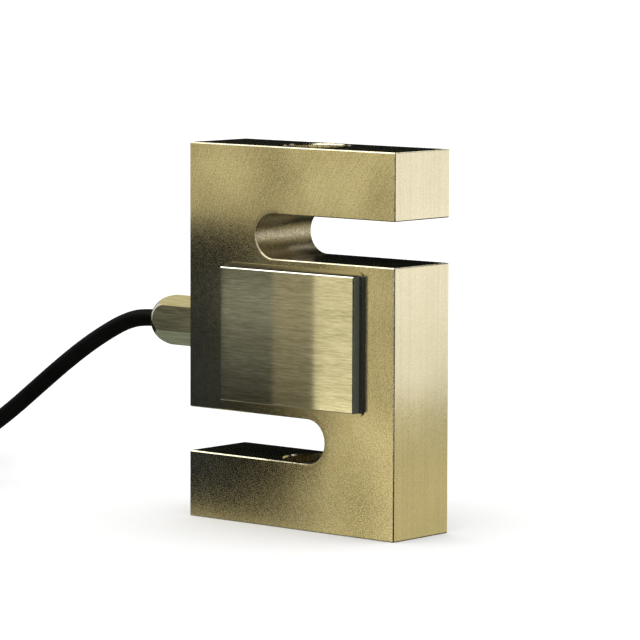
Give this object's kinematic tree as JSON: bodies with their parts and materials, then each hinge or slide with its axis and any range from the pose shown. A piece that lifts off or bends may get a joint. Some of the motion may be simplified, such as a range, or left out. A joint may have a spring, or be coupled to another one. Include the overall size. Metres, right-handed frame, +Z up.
{
  "type": "s type load cell",
  "caption": "S-shaped force sensor block with a threaded hole in each arm, cover plates over the strain-gauge pockets, a hexagonal cable gland and a signal cable folded into a hank.",
  "frame": {"origin": "where the load axis, the common axis of the two threaded holes, meets the block's bottom face", "axes": "+Z up along the load axis; -Y is the front face with the front cover; +X is the side that the upper slot opens to, and the cable gland is on the -X side"},
  "size_m": [0.3321, 0.0457, 0.108],
  "materials": {
    "body_metal": "satin nickel plate with a warm cast over fine machining",
    "cover_metal": "brushed along its width, satin",
    "sealant": "cured sealing compound",
    "gauge_film": "translucent amber film",
    "gauge_foil": "etched foil",
    "board": "glass-fibre board",
    "copper": "tinned copper",
    "resistor": "lacquered",
    "gland_metal": "plated, turned and milled",
    "seal_rubber": "moulded",
    "washer_metal": "turned",
    "jacket": "satin extruded jacket",
    "tie": "moulded nylon",
    "sleeve": "heat-shrunk",
    "insulation_red": "extruded",
    "insulation_black": "extruded",
    "insulation_green": "extruded",
    "insulation_white": "extruded",
    "tinned_wire": "tinned strands"
  },
  "bodies": {
    "root": {"body": "body_metal", "front_cover": "cover_metal", "front_cover_gasket": "sealant", "front_gauge_backing": "gauge_film", "front_gauge_foil": "gauge_foil", "front_terminal_board": "board", "front_solder_pads": "copper", "rear_cover": "cover_metal", "rear_cover_gasket": "sealant", "rear_gauge_backing": "gauge_film", "rear_gauge_foil": "gauge_foil", "rear_terminal_board": "board", "rear_solder_pads": "copper", "zero_balance_resistor": "resistor", "span_resistor": "resistor", "temperature_resistor": "resistor", "core_red": "insulation_red", "core_black": "insulation_black", "core_green": "insulation_green", "core_white": "insulation_white", "link_wire_lower": "insulation_red", "link_wire_upper": "insulation_white", "gland_nut": "gland_metal", "gland_o_ring": "seal_rubber", "gland_bush": "seal_rubber", "gland_outer_washer": "washer_metal", "gland_inner_washer": "washer_metal", "cable_inlet": "jacket", "cable": "jacket", "cable_hank": "jacket", "cable_tie": "tie", "cable_sleeve": "sleeve", "lead_drain": "tinned_wire", "lead_tips": "tinned_wire", "lead_red": "insulation_red", "lead_black": "insulation_black", "lead_green": "insulation_green", "lead_white": "insulation_white"}
  },
  "joints": []
}
